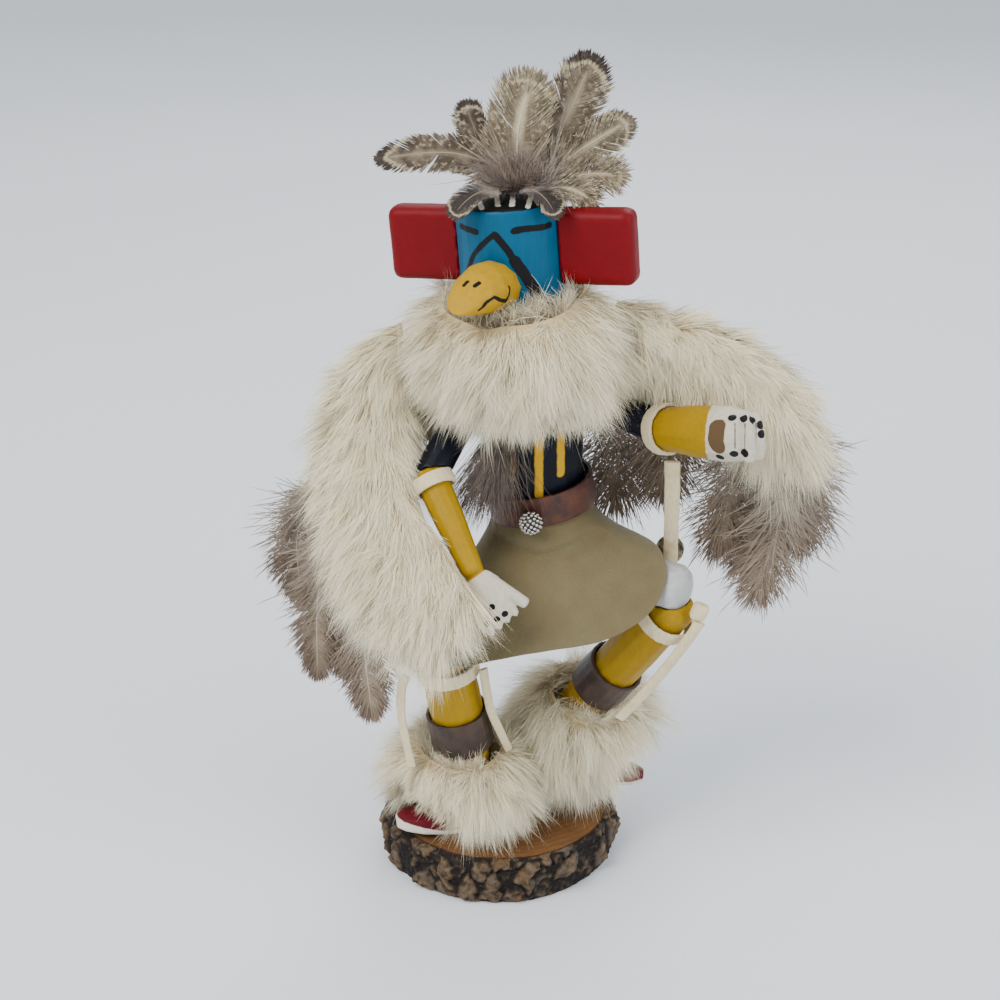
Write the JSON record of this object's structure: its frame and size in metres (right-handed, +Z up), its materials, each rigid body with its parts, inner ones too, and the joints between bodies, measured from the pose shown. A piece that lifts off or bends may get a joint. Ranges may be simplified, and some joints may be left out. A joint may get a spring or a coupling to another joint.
{
  "type": "kachina doll",
  "caption": "Carved and painted eagle dancer figure with fur wings and ruff, suede kilt and feather crown, on a slice of log.",
  "frame": {"origin": "middle of the log slice's flat underside", "axes": "+Z up along the doll's height; the doll faces -Y, so its right arm is on the -X side"},
  "size_m": [0.1694, 0.0936, 0.2616],
  "materials": {
    "log_wood": "bare wood with its bark",
    "navy_paint": "dark blue paint on carved wood",
    "turquoise_paint": "turquoise paint on carved wood",
    "red_paint": "red paint on carved wood",
    "yellow_paint": "yellow paint on carved wood",
    "maroon_paint": "dark red and white paint on carved wood",
    "white_paint": "white paint on carved wood",
    "suede": "olive suede",
    "brown_leather": "smooth brown leather",
    "silver_bead": "granulated silver-coloured metal",
    "cream_leather": "pale buckskin",
    "bell_brass": "tarnished brass",
    "white_fur": "long cream-white fur on its hide",
    "dark_down": "purple-brown down",
    "brown_feather": "barred grey-brown feather",
    "grey_hair": "long dark grey hair"
  },
  "bodies": {
    "root": {"base_slice": "log_wood", "torso": "navy_paint", "mask": "turquoise_paint", "ear_right": "red_paint", "ear_left": "red_paint", "beak": "yellow_paint", "moccasin_right": "maroon_paint", "moccasin_left": "maroon_paint", "thigh_right": "white_paint", "thigh_left": "white_paint", "shin_right": "yellow_paint", "shin_left": "yellow_paint", "upper_arm_right": "navy_paint", "upper_arm_left": "navy_paint", "forearm_right": "yellow_paint", "forearm_left": "yellow_paint", "kilt": "suede", "belt": "brown_leather", "belt_bead": "silver_bead", "arm_band_right": "cream_leather", "arm_band_left": "cream_leather", "shin_band_right": "brown_leather", "shin_band_left": "brown_leather", "knee_tie_right": "cream_leather", "knee_tie_left": "cream_leather", "knee_knot_left": "cream_leather", "knee_lace_left": "cream_leather", "knee_lace_right_inner": "cream_leather", "knee_lace_right_outer": "cream_leather", "elbow_thong": "cream_leather", "elbow_bell": "bell_brass", "fur_ruff": "white_fur", "fur_wing_right": "white_fur", "fur_wing_left": "white_fur", "fur_cuff_right": "white_fur", "fur_cuff_left": "white_fur", "crown_tuft": "dark_down", "brow_feather_right": "dark_down", "brow_feather_left": "dark_down", "side_tuft": "grey_hair", "crown_feather_1": "brown_feather", "crown_feather_2": "brown_feather", "crown_feather_3": "brown_feather", "crown_feather_4": "brown_feather", "crown_feather_5": "brown_feather", "crown_feather_6": "brown_feather", "crown_feather_7": "brown_feather", "wing_feather_right_1": "brown_feather", "wing_feather_right_2": "brown_feather", "wing_feather_right_3": "brown_feather", "wing_feather_right_4": "brown_feather", "wing_feather_right_5": "brown_feather", "wing_feather_left_1": "brown_feather", "wing_feather_left_2": "brown_feather", "wing_feather_left_3": "brown_feather", "wing_feather_left_4": "brown_feather", "wing_feather_left_5": "brown_feather", "wing_feather_left_6": "brown_feather"}
  },
  "joints": []
}
